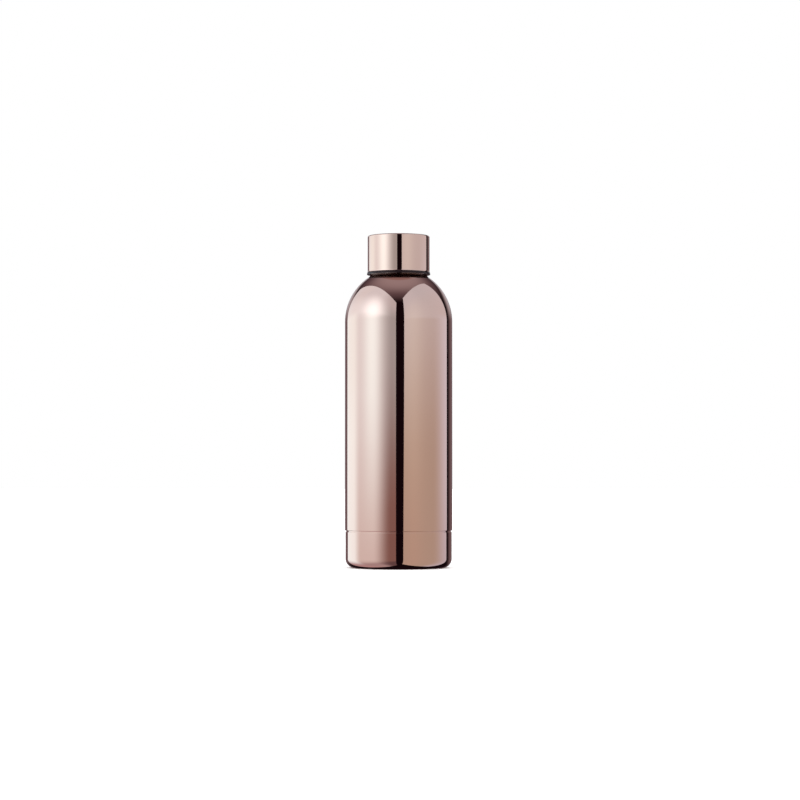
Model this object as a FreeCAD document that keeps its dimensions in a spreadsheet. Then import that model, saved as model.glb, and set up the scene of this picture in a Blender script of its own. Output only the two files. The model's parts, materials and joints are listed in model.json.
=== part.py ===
import FreeCAD, Part
import Sketcher
import math
import os

# Double-walled 750 ml water bottle with a screw cap: a copper-plated steel outer shell and base cup round a
# steel liner, with a vacuum and a copper lining between them.
# Millimetres, +Z up, origin at the centre of the foot, bottle upright with its cap screwed down.
# Every piece but the getter is turned about the Z axis, so most outlines are drawn as radius and height.

# Driving dimensions: name, value (a length unless its meaning says otherwise), meaning
DRIVING = [
    # whole bottle
    ("total_height", 242.0, "floor to the top of the cap"),
    ("body_radius", 39.1, "outside of the shell, and radius of its domed shoulder"),
    ("dome_centre", 179.2, "height where the straight wall ends and the dome begins"),
    ("vacuum_gap", 2.8, "between shell and liner"),
    ("neck_gap", 0.9, "the same gap inside the neck"),
    ("contact_gap", 0.05, "left for glue or weld between pieces that are fixed to each other"),
    # outer shell
    ("shell_wall", 0.45, "sheet of the outer shell"),
    ("seam_height", 27.1, "lower edge of the shell's full diameter"),
    ("seam_bend", 0.5, "outside bend of that edge"),
    ("spigot_step", 1.0, "how far the shell steps in below the seam"),
    ("spigot_bottom", 7.2, "lower edge of the shell, inside the base cup"),
    ("collar_radius", 20.8, "smooth collar where the neck leaves the dome"),
    ("collar_root", 2.0, "hollow bend between dome and collar"),
    ("collar_top", 214.0, "top of the collar"),
    ("collar_bend", 0.4, "rounded top of the collar"),
    ("collar_slope", 1.3, "height of the slope from collar to neck"),
    ("slope_thinning", 0.18, "how much lower that slope's inside lies"),
    ("neck_radius", 19.3, "neck under the thread"),
    ("neck_top", 232.0, "upper edge of the shell, under the lip"),
    ("lip_top", 233.4, "brim of the mouth"),
    # screw thread
    ("thread_pitch", 4.0, "rise of the cap in one turn"),
    ("thread_depth", 1.1, "height of the neck's ridge"),
    ("thread_clearance", 0.35, "from either ridge's crest to the wall it faces"),
    ("ridge_foot", 2.2, "width of a ridge at its wall"),
    ("ridge_crest", 1.0, "width of a ridge at its crest"),
    ("ridge_sink", 0.3, "how far a ridge's section reaches into its wall"),
    ("neck_ridge_start", 218.2, "middle of the neck's ridge at its lower end"),
    ("neck_ridge_turns", 2.25, "number of turns of ridge on the neck"),
    ("cap_ridge_drop", 1.75, "cap's ridge below the neck's when screwed down"),
    ("cap_ridge_turns", 1.75, "number of turns of ridge in the cap"),
    # base cup
    ("base_step", 0.4, "base cup's radius below the shell's"),
    ("seam_gap", 0.9, "groove between shell and base cup"),
    ("base_wall", 0.5, "sheet of the base cup"),
    ("base_corner", 6.7, "bottom corner of the base cup"),
    ("base_rim", 0.15, "rounded upper edge of the base cup"),
    ("foot_radius", 29.2, "inner edge of the flat foot ring"),
    ("foot_recess", 1.6, "height of the panel inside the foot ring"),
    ("foot_slope", 1.8, "width of the slope up to that panel"),
    ("foot_bend", 0.6, "bends at both ends of that slope"),
    # vacuum closure, its glass and its getter
    ("closure_wall", 0.5, "sheet of the vacuum closure"),
    ("closure_height", 2.2, "flange of the vacuum closure"),
    ("closure_corner", 1.2, "outside bend of that flange"),
    ("dimple_radius", 5.0, "dimple of the vacuum closure"),
    ("dimple_rise", 1.6, "rise of that dimple"),
    ("dimple_bend", 0.6, "outside bend of the dimple's top"),
    ("vent_radius", 1.0, "hole that the air is pumped out through"),
    ("glass_margin", 0.6, "from the dimple's wall to the glass"),
    ("glass_depth", 1.2, "thickness of the glass at its middle"),
    ("glass_edge", 0.2, "how much thinner it is near its edge"),
    ("glass_slope", 0.7, "width of its sloping edge"),
    ("getter_offset", 20.0, "getter's distance from the axis"),
    ("getter_radius", 4.0, "getter pellet"),
    ("getter_height", 1.4, "getter pellet"),
    ("getter_chamfer", 0.2, "pressed edges of the pellet"),
    ("holder_wall", 0.25, "sheet of the getter's cup"),
    ("holder_room", 0.1, "space round the pellet in that cup"),
    ("holder_brim", 2.5, "brim by which that cup is welded"),
    ("holder_vent", 1.6, "radius of the hole over the pellet"),
    # liner
    ("liner_wall", 0.4, "sheet of the liner"),
    ("lip_bend", 0.7, "rounded brim"),
    ("neck_root_outside", 2.6, "bend from neck to dome on the liner's outside"),
    ("neck_root_inside", 3.0, "the same bend on its inside"),
    ("liner_seam", 20.0, "weld between liner and liner bottom"),
    ("liner_floor", 12.6, "lowest point of the liner's bottom"),
    ("liner_corner", 7.0, "corner of the liner's bottom"),
    ("crown_rise", 2.0, "rise of the liner's bottom at its centre"),
    ("crown_margin", 10.0, "from the liner's wall to the foot of that rise"),
    ("crown_slope", 8.0, "width of the slope up to its top"),
    ("lining_wall", 0.15, "copper lining round the liner"),
    ("lining_margin", 3.0, "bare liner above and below the lining"),
    # cap
    ("cap_radius", 22.6, "outside of the cap's skin"),
    ("cap_bottom", 213.4, "lower edge of the cap"),
    ("cap_wall", 0.45, "sheet of the cap's skin"),
    ("cap_corner", 1.1, "top corner of the cap"),
    ("flare_width", 0.2, "how far the skin's lower edge turns out"),
    ("flare_height", 0.45, "height of that turned edge"),
    ("flare_root", 1.8, "bend above it"),
    ("rim_height", 1.9, "plastic rim below the skin"),
    ("rim_width", 0.5, "how far that rim stands out past the skin's wall"),
    ("rim_straight", 0.8, "its upright part"),
    ("rim_edge", 0.3, "rounding of its lower edge"),
    ("rim_mouth", 0.5, "room between the rim and the collar"),
    ("rim_depth", 1.2, "height of that wider mouth"),
    ("seal_height", 2.0, "groove for the silicone seal"),
    ("seal_gap", 0.1, "seal to brim"),
    ("seal_margin", 0.5, "seal's outer edge past the neck"),
    ("web_height", 1.7, "disc that ties sleeve and plug together"),
    ("plug_radius", 16.7, "plug that hangs into the mouth"),
    ("plug_groove", 0.8, "depth of the groove that holds the seal"),
    ("plug_bottom", 225.0, "underside of the plug"),
    ("plug_corner", 1.2, "lower corner of the plug"),
    ("plug_wall", 1.4, "plug's wall and bottom"),
    ("rib_width", 1.2, "ribs above the web"),
    ("rib_count", 8, "number of those ribs"),
    ("soft_edge", 0.4, "rounded edges of plastic, silicone and foam"),
]

OUT = "parts"


class Size:
    """A length that knows both its value and the spreadsheet expression it comes from."""

    def __init__(self, value, text):
        self.value = float(value)
        self.text = text

    @staticmethod
    def of(thing):
        return thing if isinstance(thing, Size) else Size(thing, repr(float(thing)))

    def combine(self, sign, other, value):
        return Size(value, f"({self.text} {sign} {Size.of(other).text})")

    def __add__(self, other):
        return self.combine("+", other, self.value + Size.of(other).value)

    def __sub__(self, other):
        return self.combine("-", other, self.value - Size.of(other).value)

    def __mul__(self, other):
        return self.combine("*", other, self.value * Size.of(other).value)

    def __truediv__(self, other):
        return self.combine("/", other, self.value / Size.of(other).value)

    def __neg__(self):
        return self * -1


def height_on_circle(radius, x):
    """How high above its centre a circle of that radius is, x from the axis."""
    return Size(math.sqrt(radius.value**2 - x.value**2), f"sqrt({radius.text}^2 - {x.text}^2)")


class Dimensions:
    """The spreadsheet; each driving dimension is read from it as an attribute."""

    def __init__(self, document):
        self.sheet = document.addObject("Spreadsheet::Sheet", "Dimensions")
        for row, (name, value, meaning) in enumerate(DRIVING, start=1):
            self.sheet.set(f"A{row}", name)
            self.sheet.set(f"B{row}", str(value))
            self.sheet.setAlias(f"B{row}", name)
            self.sheet.set(f"C{row}", meaning)
        document.recompute()

    def __getattr__(self, name):
        return Size(self.sheet.get(name), f"Dimensions.{name}")


doc = FreeCAD.newDocument("water_bottle")
d = Dimensions(doc)

# Sizes that several pieces share
SHELL_INSIDE = d.body_radius - d.shell_wall
LINER_OUTSIDE = SHELL_INSIDE - d.vacuum_gap
LINER_INSIDE = LINER_OUTSIDE - d.liner_wall
NECK_INSIDE = d.neck_radius - d.shell_wall
LINER_NECK_OUTSIDE = NECK_INSIDE - d.neck_gap
MOUTH_RADIUS = LINER_NECK_OUTSIDE - d.liner_wall
SPIGOT_OUTSIDE = d.body_radius - d.spigot_step
SPIGOT_INSIDE = SPIGOT_OUTSIDE - d.shell_wall
BASE_OUTSIDE = d.body_radius - d.base_step
CLOSURE_UNDERSIDE = d.spigot_bottom + d.closure_height - d.closure_wall
CLOSURE_TOP = CLOSURE_UNDERSIDE + d.closure_wall
SLEEVE_INSIDE = d.neck_radius + d.thread_depth + d.thread_clearance
SLEEVE_OUTSIDE = d.cap_radius - d.cap_wall - d.contact_gap
SLEEVE_TOP = d.total_height - d.cap_wall - d.contact_gap
INNER_CAP_CORNER = d.cap_corner - d.cap_wall
SEAL_BOTTOM = d.lip_top + d.seal_gap
WEB_BOTTOM = SEAL_BOTTOM + d.seal_height
PLUG_INSIDE = d.plug_radius - d.plug_wall
GROOVE_RADIUS = d.plug_radius - d.plug_groove


# ---------------------------------------------------------------- drawing helpers


def new_body(name):
    body = doc.addObject("PartDesign::Body", name)
    body.Label = name
    return body


def new_sketch(body, name, plane="XZ_Plane", offset=None):
    sketch = body.newObject("Sketcher::SketchObject", name)
    support = next(feature for feature in body.Origin.OriginFeatures if feature.Role == plane)
    sketch.AttachmentSupport = (support, [""])
    sketch.MapMode = "FlatFace"
    if offset is not None:
        sketch.setExpression("AttachmentOffset.Base.z", offset.text)
    doc.recompute()
    return sketch


def constrain(sketch, name, size, kind, *where):
    """Adds one named constraint and binds it to the spreadsheet."""
    index = sketch.addConstraint(Sketcher.Constraint(kind, *where, size.value))
    sketch.renameConstraint(index, name)
    sketch.setExpression(f"Constraints.{name}", size.text)


def place_point(sketch, label, segment, end, x, y):
    """Holds one end of a segment at x, y from the sketch's origin."""
    for kind, axis, size in (("DistanceX", -2, x), ("DistanceY", -1, y)):
        if size.value == 0:
            sketch.addConstraint(Sketcher.Constraint("PointOnObject", segment, end, axis))
        else:
            constrain(sketch, f"{label}{kind[-1]}", size, kind, -1, 1, segment, end)


def arc_between(start, end, radius):
    """The arc from start to end: a positive radius turns left on the way there, a negative one right."""
    half = (end - start) * 0.5
    across = FreeCAD.Vector(-half.y, half.x, 0).normalize()
    reach = math.copysign(math.sqrt(radius.value**2 - half.Length**2), radius.value)
    circle = Part.Circle(start + half + across * reach, FreeCAD.Vector(0, 0, 1), abs(radius.value))
    first, last = (start, end) if radius.value > 0 else (end, start)
    return Part.ArcOfCircle(circle, circle.parameter(first), circle.parameter(last))


def outline(sketch, corners, arcs=None):
    """Draws a closed outline through the corners, with an arc for each side that arcs gives a radius."""
    arcs = arcs or {}
    corners = [(Size.of(x), Size.of(y)) for x, y in corners]
    points = [FreeCAD.Vector(x.value, y.value, 0) for x, y in corners]
    ends = []
    for side, start in enumerate(points):
        end = points[(side + 1) % len(points)]
        radius = arcs.get(side)
        line = arc_between(start, end, radius) if radius else Part.LineSegment(start, end)
        sketch.addGeometry(line, False)
        ends.append((2, 1) if radius and radius.value < 0 else (1, 2))
    for side, (start, end) in enumerate(ends):
        after = (side + 1) % len(points)
        sketch.addConstraint(Sketcher.Constraint("Coincident", side, end, after, ends[after][0]))
    for side, (x, y) in enumerate(corners):
        place_point(sketch, f"corner{side}", side, ends[side][0], x, y)
    for side, radius in arcs.items():
        constrain(sketch, f"radius{side}", radius if radius.value > 0 else -radius, "Radius", side)
    doc.recompute()


def turned(body, name, corners, arcs=None):
    """Turns a closed outline, given as radius and height, round the Z axis."""
    sketch = new_sketch(body, name + "_sketch")
    outline(sketch, corners, arcs)
    feature = body.newObject("PartDesign::Revolution", name)
    feature.Profile = sketch
    feature.ReferenceAxis = (sketch, ["V_Axis"])
    feature.Angle = 360
    doc.recompute()


def ring_edge(shape, radius, height):
    """Name of the horizontal circular edge at that radius and height."""
    height = Size.of(height)
    for number, edge in enumerate(shape.Edges, start=1):
        curve = edge.Curve
        if not isinstance(curve, Part.Circle) or abs(curve.Axis.z) < 0.99:
            continue
        miss = max(abs(curve.Radius - radius.value), abs(curve.Center.z - height.value))
        if miss < 1e-3:
            return f"Edge{number}"
    raise ValueError(f"no edge at radius {radius.value}, height {height.value}")


def rounded(body, name, radius, *rings):
    """Fillets circular edges of the body's last feature, each given as radius and height."""
    base = body.Tip
    feature = body.newObject("PartDesign::Fillet", name)
    feature.Base = (base, [ring_edge(base.Shape, *ring) for ring in rings])
    feature.setExpression("Radius", radius.text)
    doc.recompute()


def ridge(body, name, wall, height, start, turns):
    """Adds a right-handed thread ridge that stands off the wall by height, inwards if that is negative."""
    sink = d.ridge_sink if height.value < 0 else -d.ridge_sink
    half_foot = d.ridge_foot / 2
    half_crest = d.ridge_crest / 2
    sketch = new_sketch(body, name + "_sketch")
    outline(sketch, [
        (wall + sink, start - half_foot),
        (wall, start - half_foot),
        (wall + height, start - half_crest),
        (wall + height, start + half_crest),
        (wall, start + half_foot),
        (wall + sink, start + half_foot),
    ])
    feature = body.newObject("PartDesign::AdditiveHelix", name)
    feature.Profile = sketch
    feature.ReferenceAxis = (sketch, ["V_Axis"])
    feature.Mode = "pitch-turns-angle"
    feature.setExpression("Pitch", d.thread_pitch.text)
    feature.setExpression("Turns", turns.text)
    doc.recompute()


def getter_cylinder(name, radius, height):
    """Upright cylinder that stands on the closure, on the getter's own axis."""
    piece = doc.addObject("Part::Cylinder", name)
    piece.setExpression("Radius", radius.text)
    piece.setExpression("Height", height.text)
    piece.setExpression("Placement.Base.x", d.getter_offset.text)
    piece.setExpression("Placement.Base.z", CLOSURE_TOP.text)
    return piece


def boolean(kind, name, base, tool):
    piece = doc.addObject(kind, name)
    piece.Base = base
    piece.Tool = tool
    piece.Label = name
    return piece


# ---------------------------------------------------------------- bottle


def outer_shell():
    """Sheet tube with thread, neck, dome and wall, stepped in at the bottom to carry the base cup."""
    body = new_body("outer_shell")
    collar_inside = d.collar_radius - d.shell_wall
    collar_foot = d.dome_centre + height_on_circle(d.body_radius, d.collar_radius)
    slope_top = d.collar_top + d.collar_slope
    step_top = d.seam_height + d.shell_wall
    turned(body, "shell_sheet", [
        (SPIGOT_OUTSIDE, d.spigot_bottom),
        (SPIGOT_OUTSIDE, d.seam_height),
        (d.body_radius, d.seam_height),
        (d.body_radius, d.dome_centre),
        (d.collar_radius, collar_foot),
        (d.collar_radius, d.collar_top),
        (d.neck_radius, slope_top),
        (d.neck_radius, d.neck_top),
        (NECK_INSIDE, d.neck_top),
        (NECK_INSIDE, slope_top - d.slope_thinning),
        (collar_inside, d.collar_top - d.slope_thinning),
        (collar_inside, d.dome_centre + height_on_circle(SHELL_INSIDE, collar_inside)),
        (SHELL_INSIDE, d.dome_centre),
        (SHELL_INSIDE, step_top),
        (SPIGOT_INSIDE, step_top),
        (SPIGOT_INSIDE, d.spigot_bottom),
    ], {3: d.body_radius, 11: -SHELL_INSIDE})
    rounded(body, "collar_root", d.collar_root, (d.collar_radius, collar_foot))
    rounded(body, "collar_bend", d.collar_bend, (d.collar_radius, d.collar_top))
    rounded(body, "seam_bend", d.seam_bend, (d.body_radius, d.seam_height))
    ridge(body, "neck_ridge", d.neck_radius, d.thread_depth, d.neck_ridge_start, d.neck_ridge_turns)
    return body


def base_cup():
    """Outer bottom: a drawn cup that covers the stepped end of the shell and stands on a foot ring."""
    body = new_body("base_cup")
    inside = BASE_OUTSIDE - d.base_wall
    rim = d.seam_height - d.seam_gap
    panel_edge = d.foot_radius - d.foot_slope
    turned(body, "base_sheet", [
        (0, d.foot_recess),
        (panel_edge, d.foot_recess),
        (d.foot_radius, 0),
        (BASE_OUTSIDE, 0),
        (BASE_OUTSIDE, rim),
        (inside, rim),
        (inside, d.base_wall),
        (d.foot_radius, d.base_wall),
        (panel_edge, d.foot_recess + d.base_wall),
        (0, d.foot_recess + d.base_wall),
    ])
    rounded(body, "corner_outside", d.base_corner, (BASE_OUTSIDE, 0))
    rounded(body, "corner_inside", d.base_corner - d.base_wall, (inside, d.base_wall))
    rounded(body, "foot_bends", d.foot_bend, (d.foot_radius, 0), (panel_edge, d.foot_recess))
    rounded(body, "rim", d.base_rim, (BASE_OUTSIDE, rim))
    return body


def vacuum_closure():
    """Disc welded into the end of the shell; its dimple has the hole that the air is pumped out through."""
    body = new_body("vacuum_closure")
    outside = SPIGOT_INSIDE - d.contact_gap
    inside = outside - d.closure_wall
    dimple_outside = d.dimple_radius + d.closure_wall
    turned(body, "closure_sheet", [
        (d.vent_radius, CLOSURE_UNDERSIDE + d.dimple_rise),
        (d.dimple_radius, CLOSURE_UNDERSIDE + d.dimple_rise),
        (d.dimple_radius, CLOSURE_UNDERSIDE),
        (inside, CLOSURE_UNDERSIDE),
        (inside, d.spigot_bottom),
        (outside, d.spigot_bottom),
        (outside, CLOSURE_TOP),
        (dimple_outside, CLOSURE_TOP),
        (dimple_outside, CLOSURE_TOP + d.dimple_rise),
        (d.vent_radius, CLOSURE_TOP + d.dimple_rise),
    ])
    rounded(body, "closure_corner", d.closure_corner, (outside, CLOSURE_TOP))
    rounded(body, "dimple_bend", d.dimple_bend, (dimple_outside, CLOSURE_TOP + d.dimple_rise))
    return body


def glass_seal():
    """Bead of solder glass, melted into the dimple and the hole to hold the vacuum."""
    body = new_body("glass_seal")
    ceiling = CLOSURE_UNDERSIDE + d.dimple_rise
    bead = d.dimple_radius - d.glass_margin
    turned(body, "bead", [
        (0, ceiling - d.glass_depth),
        (bead - d.glass_slope, ceiling - d.glass_depth + d.glass_edge),
        (bead, ceiling),
        (d.vent_radius, ceiling),
        (d.vent_radius, ceiling + d.closure_wall),
        (0, ceiling + d.closure_wall),
    ])
    return body


def getter_pellet():
    """Pellet that soaks up the last gas in the vacuum."""
    pellet = getter_cylinder("pellet", d.getter_radius, d.getter_height)
    doc.recompute()
    rims = [number for number, edge in enumerate(pellet.Shape.Edges, start=1) if edge.Closed]
    edged = doc.addObject("Part::Chamfer", "getter_pellet")
    edged.Base = pellet
    edged.Edges = [(number, d.getter_chamfer.value, d.getter_chamfer.value) for number in rims]
    edged.Label = "getter_pellet"
    return edged


def getter_holder():
    """Upturned steel cup that holds the pellet against the closure, spot-welded by its brim."""
    space = d.getter_radius + d.holder_room
    room = d.getter_height + d.holder_room
    crown_height = room + d.holder_wall
    brim = getter_cylinder("holder_brim", space + d.holder_brim, d.holder_wall)
    crown = getter_cylinder("holder_crown", space + d.holder_wall, crown_height)
    hollow = getter_cylinder("holder_hollow", space, room)
    vent = getter_cylinder("holder_vent", d.holder_vent, crown_height)
    outside = boolean("Part::Fuse", "holder_outside", brim, crown)
    inside = boolean("Part::Fuse", "holder_inside", hollow, vent)
    return boolean("Part::Cut", "getter_holder", outside, inside)


def liner_body():
    """Inner bottle: thin tube, dome and neck, turned out at the top into the lip."""
    body = new_body("liner_body")
    top_outside = d.dome_centre + height_on_circle(LINER_OUTSIDE, LINER_NECK_OUTSIDE)
    top_inside = d.dome_centre + height_on_circle(LINER_INSIDE, MOUTH_RADIUS)
    turned(body, "liner_sheet", [
        (LINER_OUTSIDE, d.liner_seam),
        (LINER_OUTSIDE, d.dome_centre),
        (LINER_NECK_OUTSIDE, top_outside),
        (LINER_NECK_OUTSIDE, d.neck_top),
        (d.neck_radius, d.neck_top),
        (d.neck_radius, d.lip_top),
        (MOUTH_RADIUS, d.lip_top),
        (MOUTH_RADIUS, top_inside),
        (LINER_INSIDE, d.dome_centre),
        (LINER_INSIDE, d.liner_seam),
    ], {1: LINER_OUTSIDE, 7: -LINER_INSIDE})
    rounded(body, "lip", d.lip_bend, (d.neck_radius, d.lip_top), (MOUTH_RADIUS, d.lip_top))
    rounded(body, "neck_root_outside", d.neck_root_outside, (LINER_NECK_OUTSIDE, top_outside))
    rounded(body, "neck_root_inside", d.neck_root_inside, (MOUTH_RADIUS, top_inside))
    return body


def liner_bottom():
    """Pressed bottom of the inner bottle, butt-welded to its tube, with a raised centre."""
    body = new_body("liner_bottom")
    slope_foot = LINER_OUTSIDE - d.crown_margin
    slope_head = slope_foot - d.crown_slope
    floor_top = d.liner_floor + d.liner_wall
    turned(body, "bottom_sheet", [
        (0, d.liner_floor + d.crown_rise),
        (slope_head, d.liner_floor + d.crown_rise),
        (slope_foot, d.liner_floor),
        (LINER_OUTSIDE, d.liner_floor),
        (LINER_OUTSIDE, d.liner_seam),
        (LINER_INSIDE, d.liner_seam),
        (LINER_INSIDE, floor_top),
        (slope_foot, floor_top),
        (slope_head, floor_top + d.crown_rise),
        (0, floor_top + d.crown_rise),
    ])
    rounded(body, "corner_outside", d.liner_corner, (LINER_OUTSIDE, d.liner_floor))
    rounded(body, "corner_inside", d.liner_corner - d.liner_wall, (LINER_INSIDE, floor_top))
    return body


def copper_lining():
    """Copper skin round the liner, which keeps heat from crossing the vacuum."""
    body = new_body("copper_lining")
    inside = LINER_OUTSIDE + d.contact_gap
    outside = inside + d.lining_wall
    bottom = d.liner_seam + d.lining_margin
    top = d.dome_centre - d.lining_margin
    turned(body, "lining_sheet", [(inside, bottom), (outside, bottom), (outside, top), (inside, top)])
    return body


# ---------------------------------------------------------------- cap


def cap_shell():
    """Steel skin of the cap: a drawn cup that stands on the plastic rim, its edge turned out a little."""
    body = new_body("cap_shell")
    inside = d.cap_radius - d.cap_wall
    ceiling = d.total_height - d.cap_wall
    skin_bottom = d.cap_bottom + d.rim_height + d.contact_gap
    flare_top = skin_bottom + d.flare_height
    turned(body, "cap_sheet", [
        (0, ceiling),
        (inside, ceiling),
        (inside, flare_top),
        (inside + d.flare_width, skin_bottom),
        (d.cap_radius + d.flare_width, skin_bottom),
        (d.cap_radius, flare_top),
        (d.cap_radius, d.total_height),
        (0, d.total_height),
    ])
    rounded(body, "corner_outside", d.cap_corner, (d.cap_radius, d.total_height))
    rounded(body, "corner_inside", INNER_CAP_CORNER, (inside, ceiling))
    rounded(body, "flare_root", d.flare_root, (d.cap_radius, flare_top), (inside, flare_top))
    return body


def add_ribs(body, bottom, inner, outer):
    """Radial ribs that tie the ring round the foam to the sleeve, each one sunk into what it joins."""
    sketch = new_sketch(body, "rib_sketch", "XY_Plane", bottom - d.soft_edge)
    half = d.rib_width / 2
    outline(sketch, [(inner, -half), (outer, -half), (outer, half), (inner, half)])
    rib = body.newObject("PartDesign::Pad", "rib")
    rib.Profile = sketch
    rib.setExpression("Length", (SLEEVE_TOP - bottom).text)
    doc.recompute()
    ribs = body.newObject("PartDesign::PolarPattern", "ribs")
    ribs.Originals = [rib]
    ribs.Axis = (sketch, ["N_Axis"])
    ribs.Angle = 360
    ribs.setExpression("Occurrences", d.rib_count.text)
    body.Tip = ribs
    doc.recompute()


def threaded_sleeve():
    """Moulding of the cap: rim under the skin, threaded sleeve, web, ring round the foam, and ribs."""
    body = new_body("threaded_sleeve")
    rim_outside = d.cap_radius + d.rim_width
    rim_top = d.cap_bottom + d.rim_height
    mouth = d.collar_radius + d.rim_mouth
    mouth_top = d.cap_bottom + d.rim_depth
    web_top = WEB_BOTTOM + d.web_height
    turned(body, "sleeve_moulding", [
        (mouth, d.cap_bottom),
        (rim_outside, d.cap_bottom),
        (rim_outside, d.cap_bottom + d.rim_straight),
        (d.cap_radius + d.flare_width, rim_top),
        (SLEEVE_OUTSIDE, rim_top),
        (SLEEVE_OUTSIDE, SLEEVE_TOP),
        (SLEEVE_INSIDE, SLEEVE_TOP),
        (SLEEVE_INSIDE, web_top),
        (GROOVE_RADIUS, web_top),
        (GROOVE_RADIUS, SLEEVE_TOP),
        (PLUG_INSIDE, SLEEVE_TOP),
        (PLUG_INSIDE, WEB_BOTTOM),
        (SLEEVE_INSIDE, WEB_BOTTOM),
        (SLEEVE_INSIDE, mouth_top),
        (mouth, mouth_top),
    ])
    rounded(body, "sleeve_shoulder", INNER_CAP_CORNER, (SLEEVE_OUTSIDE, SLEEVE_TOP))
    rounded(body, "rim_edges", d.rim_edge, (rim_outside, d.cap_bottom), (mouth, d.cap_bottom))
    rounded(body, "sleeve_mouth", d.soft_edge, (SLEEVE_INSIDE, mouth_top))
    add_ribs(body, web_top, GROOVE_RADIUS - d.soft_edge, SLEEVE_INSIDE + d.soft_edge)
    start = d.neck_ridge_start - d.cap_ridge_drop
    ridge(body, "cap_ridge", SLEEVE_INSIDE, -d.thread_depth, start, d.cap_ridge_turns)
    return body


def cap_plug():
    """Moulded cup that hangs into the mouth, welded under the web; the seal sits in its groove."""
    body = new_body("cap_plug")
    shoulder = SEAL_BOTTOM - d.contact_gap
    turned(body, "plug_moulding", [
        (0, d.plug_bottom),
        (d.plug_radius, d.plug_bottom),
        (d.plug_radius, shoulder),
        (GROOVE_RADIUS, shoulder),
        (GROOVE_RADIUS, WEB_BOTTOM),
        (PLUG_INSIDE, WEB_BOTTOM),
        (PLUG_INSIDE, d.plug_bottom + d.plug_wall),
        (0, d.plug_bottom + d.plug_wall),
    ])
    rounded(body, "plug_corner", d.plug_corner, (d.plug_radius, d.plug_bottom))
    rounded(body, "plug_shoulder", d.soft_edge / 2, (d.plug_radius, shoulder))
    return body


def cap_foam():
    """Foam puck that fills the plug, up to the skin."""
    body = new_body("cap_foam")
    outside = PLUG_INSIDE - d.contact_gap
    bottom = d.plug_bottom + d.plug_wall + d.contact_gap
    turned(body, "puck", [(0, bottom), (outside, bottom), (outside, SLEEVE_TOP), (0, SLEEVE_TOP)])
    rounded(body, "puck_edges", d.soft_edge, (outside, bottom), (outside, SLEEVE_TOP))
    return body


def cap_seal():
    """Silicone ring in the plug's groove, which the screwed-down cap presses on the lip."""
    body = new_body("cap_seal")
    inside = GROOVE_RADIUS + d.contact_gap
    outside = d.neck_radius + d.seal_margin
    top = WEB_BOTTOM - d.contact_gap
    turned(body, "seal_ring", [(inside, SEAL_BOTTOM), (outside, SEAL_BOTTOM), (outside, top), (inside, top)])
    rounded(body, "seal_edges", d.soft_edge, (outside, SEAL_BOTTOM), (outside, top))
    return body


# ---------------------------------------------------------------- build, check, export


def check(pieces):
    """Stops on any failed feature or bad solid."""
    for thing in doc.Objects:
        if "Invalid" in thing.State or "Error" in thing.State:
            raise RuntimeError(f"{thing.Name} failed: {thing.State}")
    for piece in pieces:
        shape = piece.Shape
        if shape.isNull() or not shape.isValid() or len(shape.Solids) != 1:
            raise RuntimeError(f"{piece.Label} is not one valid solid")


def main():
    pieces = [
        outer_shell(), base_cup(), vacuum_closure(), glass_seal(), getter_pellet(), getter_holder(),
        liner_body(), liner_bottom(), copper_lining(),
        cap_shell(), threaded_sleeve(), cap_plug(), cap_foam(), cap_seal(),
    ]
    doc.recompute()
    check(pieces)
    os.makedirs(OUT, exist_ok=True)
    for piece in pieces:
        piece.Shape.exportStep(os.path.join(OUT, piece.Label + ".step"))
        print(f"{piece.Label:16s} {piece.Shape.Volume / 1000:7.3f} cm3")


main()
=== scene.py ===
import json
import math

import bpy
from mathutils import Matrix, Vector

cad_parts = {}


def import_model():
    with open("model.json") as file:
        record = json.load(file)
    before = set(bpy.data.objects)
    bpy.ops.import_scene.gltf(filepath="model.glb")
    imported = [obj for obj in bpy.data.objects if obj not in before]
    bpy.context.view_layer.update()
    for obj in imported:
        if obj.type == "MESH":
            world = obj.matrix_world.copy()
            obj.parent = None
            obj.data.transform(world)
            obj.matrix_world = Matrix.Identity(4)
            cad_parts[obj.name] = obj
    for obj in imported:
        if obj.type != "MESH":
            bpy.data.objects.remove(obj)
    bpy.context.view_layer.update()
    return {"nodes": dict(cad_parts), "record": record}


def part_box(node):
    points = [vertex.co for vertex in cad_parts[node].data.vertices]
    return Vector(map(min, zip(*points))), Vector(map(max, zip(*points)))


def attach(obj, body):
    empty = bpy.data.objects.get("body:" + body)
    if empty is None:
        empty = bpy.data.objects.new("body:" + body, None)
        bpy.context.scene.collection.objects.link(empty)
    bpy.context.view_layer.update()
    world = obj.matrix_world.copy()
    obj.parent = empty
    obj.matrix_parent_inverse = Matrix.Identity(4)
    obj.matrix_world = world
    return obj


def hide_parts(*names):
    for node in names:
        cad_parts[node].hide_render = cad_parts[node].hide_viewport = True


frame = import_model()

# A double-walled water bottle in mirror-polished copper plate, with its screw cap.
# Outlines are drawn in millimetres as radius and height about the bottle's axis, with the metal on the left
# of the line, and turned into meshes in metres. Heights and radii come from the frame where a box gives them.

MM = 0.001
MICRON = 1e-6
TURN = 2 * math.pi      # radians
SEGMENTS = 240          # facets round the axis
ARC_STEP = 3.0          # degrees between points of an arc
THREAD_STEP = 0.15      # mm between rows of points on a threaded wall
SLOPE_STEP = 0.01       # mm to either side over which a thread's slope is taken
ON_AXIS = 1e-6          # mm, a smaller radius is a point on the axis
LEVEL = 1e-9            # rise of a normal below which the wall counts as upright
SHARP_EDGE = 35.0       # degrees, a steeper edge stays sharp where the ribs are joined on
SAME_PLACE = 6          # decimals of a mm to which two samples have to agree to share a ring

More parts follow.
